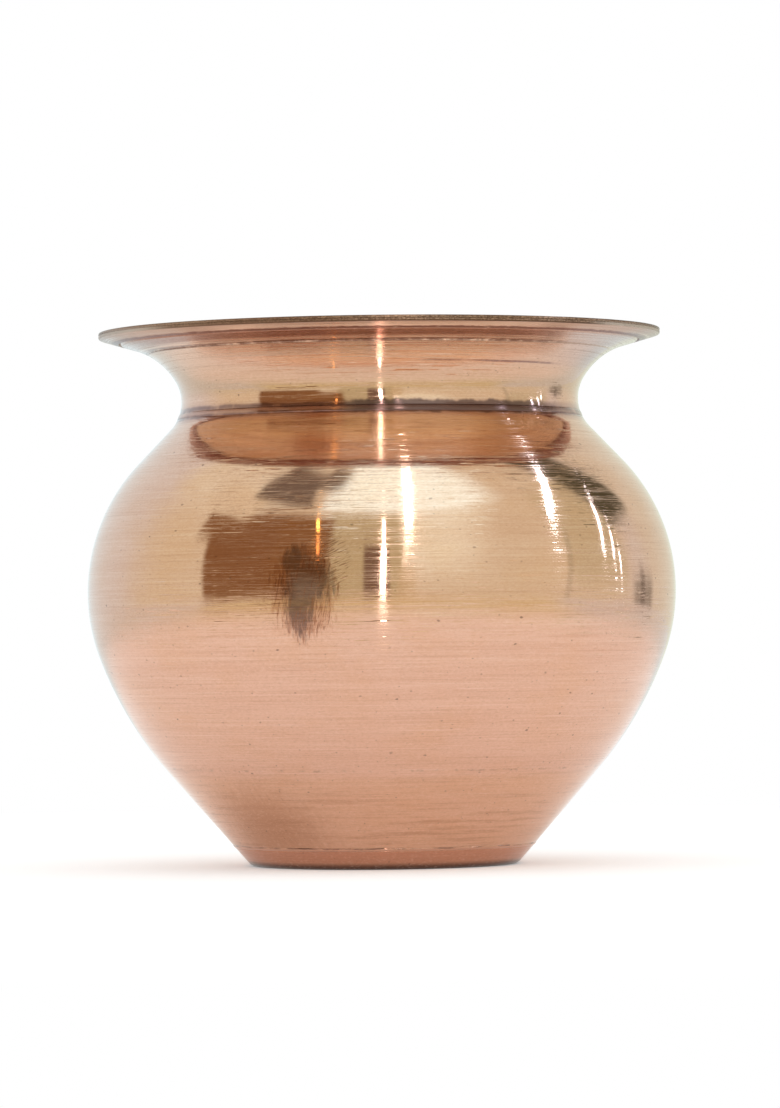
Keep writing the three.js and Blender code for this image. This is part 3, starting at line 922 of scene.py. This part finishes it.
# Painted light and shade: the flange's underside as the camera sees it, in the middle, towards the sides
# and beyond them
FLANGE_PAINTED_MIDDLE = (0.86, 0.62, 0.49)
FLANGE_PAINTED_SIDE = (0.68, 0.445, 0.32)
FLANGE_PAINTED_BEYOND = (0.50, 0.33, 0.27)
# Painted reflection: the same as the shoulder mirrors it, shown only to reflected rays
FLANGE_PAINTED_REFLECTION = (0.79, 0.64, 0.49)
FLANGE_PAINTED_REFLECTION_ASIDE = (0.66, 0.45, 0.26)
FLANGE_PAINTED_REFLECTION_RIGHT = (0.52, 0.325, 0.175)
REFLECTED_BLOT_BROWN = (0.42, 0.19, 0.08)
FLANGE_TARNISH_AND_STEP_SHADE = (0.33, 0.135, 0.085)
GROOVE_DIRT = (0.15, 0.05, 0.03)
# Painted reflection: a brown blot shown only where the shoulder mirrors the flange
MIRRORED_BLOT = (-23.0, 91.0, 10.0, 2.2, 0.6, 0.8)  # a front patch, as above
SCORED_HEIGHT, SCORED_LEFT, SCORED_RIGHT = 87.9, (4.0, 12.0), (36.0, 28.0)

material, tree, colour, rough = copper("copper_collar")
x, z, run = (millimetres(tree, axis) for axis in ("x", "z", "run"))
rim_run = float(runs(collar_section)[np.argmax(collar_section[:, 1])]) / MM  # the outside ends at its top
outside = rise(tree, run, rim_run + 0.1, rim_run - 0.1)
# Above the throat the flange is duller, and painted paler with light and shade, in one set of colours
# for the camera and another for the shoulder's reflection of it. Beyond the groove it is streaked with
# rings of red tarnish, which hardly shows in the shoulder's mirror; beside the rim ring the same dark
# colour is painted as the shadow of the ring's step.
colour = tinted(tree, colour, rise(tree, z, THROAT_FROM, THROAT_TO), 0.9, THROAT_COPPER)
# Is Camera Ray switches between the colours painted for the camera and those painted for reflections
direct = place(tree, "ShaderNodeLightPath").outputs["Is Camera Ray"]
front = times(tree, rise(tree, x, *FRONT_RIGHT), rise(tree, x, *FRONT_LEFT))
aside = to_sides(tree, 14.0, 34.0)
faced = blend(tree, front, FLANGE_PAINTED_BEYOND, blend(tree, aside, FLANGE_PAINTED_MIDDLE, FLANGE_PAINTED_SIDE))
mirrored = blend(tree, aside, FLANGE_PAINTED_REFLECTION, FLANGE_PAINTED_REFLECTION_ASIDE)
mirrored = blend(tree, rise(tree, x, 18.0, 32.0), mirrored, FLANGE_PAINTED_REFLECTION_RIGHT)
mirrored = tinted(tree, mirrored, patch(tree, *MIRRORED_BLOT)["Mark"], 0.9, REFLECTED_BLOT_BROWN)
flange = times(tree, rise(tree, z, FLANGE_FROM, FLANGE_TO), outside)
colour = tinted(tree, colour, flange, 0.9, blend(tree, direct, mirrored, faced))
rough = calc(tree, "MULTIPLY_ADD", flange, FLANGE_DULL, rough)
shown = times(tree, calc(tree, "MULTIPLY_ADD", direct, 0.8, 0.2), outside, front)
outer = times(tree, rise(tree, z, GROOVE_HEIGHT - 0.3, GROOVE_HEIGHT + 0.1), shown)
colour = tinted(tree, colour, times(tree, tarnish_rings(tree), outer), 0.6, FLANGE_TARNISH_AND_STEP_SHADE)
# Painted shadow of the rim ring's step: the tarnish colour darkens a band of the flange beside it
uneven = calc(tree, "MULTIPLY_ADD", drawn_noise(tree, 9.0, 0.5, 3.0, 0.7)["Fac"], 0.5, z)
painted_step_shadow = times(tree, rise(tree, uneven, RING_HEIGHT - 0.95, RING_HEIGHT - 0.45), shown)
colour = tinted(tree, colour, painted_step_shadow, 0.85, FLANGE_TARNISH_AND_STEP_SHADE)
groove_mark = use(tree, ring_mark, Position=z, Place=GROOVE_HEIGHT + 0.06, Width=0.30, Soft=0.14,
                  Wander=0.12, Patch=2.4, Gaps=0.42, Lean=0.0, Seed=41.0)["Mark"]
colour = tinted(tree, colour, times(tree, groove_mark, shown), 0.8, GROOVE_DIRT)
scored = use(tree, ring_mark, Position=z, Place=SCORED_HEIGHT, Width=0.14, Soft=0.18, Wander=0.3,
             Patch=9.0, Gaps=0.42, Lean=-0.006, Seed=61.0)["Mark"]
scored = times(tree, scored, rise(tree, x, *SCORED_LEFT), rise(tree, x, *SCORED_RIGHT), outside)
colour = tinted(tree, colour, scored, 0.75, SOOT)
colour = grime(tree, colour)
colour = neck_soot(tree, colour, z)
colour, rough = trimmed_edge(tree, colour, rough)
finish(collar, "neck_collar", settle(material, colour, rough))


# Neck braze: filler metal in the step between the body's lip and the collar's skirt, run round
# by hand, so that it is uneven and sooty at its edges.
neck_bead = braze("neck_bead", neck_seam, BODY_SHEET)
finish(neck_bead, "neck_braze", seam_filler)


# Rim ring: a flat copper ring let in under the flange's edge, which stiffens the rim. The two
# layers are trimmed together, and the cut edge is left dull.
RING_EASES = np.array([0.06, 0.30, 0.03, 0.03]) * MM  # inner and outer lower, outer and inner upper
RING_OXIDE = (0.32, 0.165, 0.13)
RING_PAINTED_SHEEN = (0.90, 0.65, 0.52)
RING_PAINTED_SHEEN_SIDE = (0.58, 0.36, 0.26)
RING_LAP_DIRT_AND_SHADE = (0.20, 0.055, 0.035)

ring_section = eased(np.vstack([
    outline([ring_place], 0),
    rim_point(0),
    rim_point(RING_SHEET),
    outline([ring_place], RING_SHEET),
]), RING_EASES)
ring = turned("ring", ring_section)

material, tree, colour, rough = copper("copper_rim", satin_share=0.6)
rough = calc(tree, "ADD", rough, FLANGE_DULL)
# A thin brown oxide shows where the ring is seen face-on from below; where it is seen along the sheet a
# pale painted sheen covers it, darker towards the sides
facing = place(tree, "ShaderNodeLayerWeight", None, {"Blend": 0.5}).outputs["Facing"]
pale = blend(tree, to_sides(tree, 22.0, 34.0), RING_PAINTED_SHEEN, RING_PAINTED_SHEEN_SIDE)
colour = blend(tree, rise(tree, facing, 0.45, 0.72), RING_OXIDE, pale)
colour = tinted(tree, colour, tarnish_rings(tree), 0.15, FLANGE_TARNISH_AND_STEP_SHADE)
# Dirt in the lap along the ring's inner edge, and the painted shadow of the step there
lap = use(tree, ring_mark, Position=millimetres(tree, "z"), Place=RING_HEIGHT + 0.10, Width=0.26, Soft=0.14,
          Wander=0.34, Patch=1.6, Gaps=0.30, Lean=0.0, Seed=51.0)["Mark"]
colour = tinted(tree, colour, lap, 0.85, RING_LAP_DIRT_AND_SHADE)
colour, rough = trimmed_edge(tree, colour, rough)
finish(ring, "rim_ring", settle(material, colour, rough))
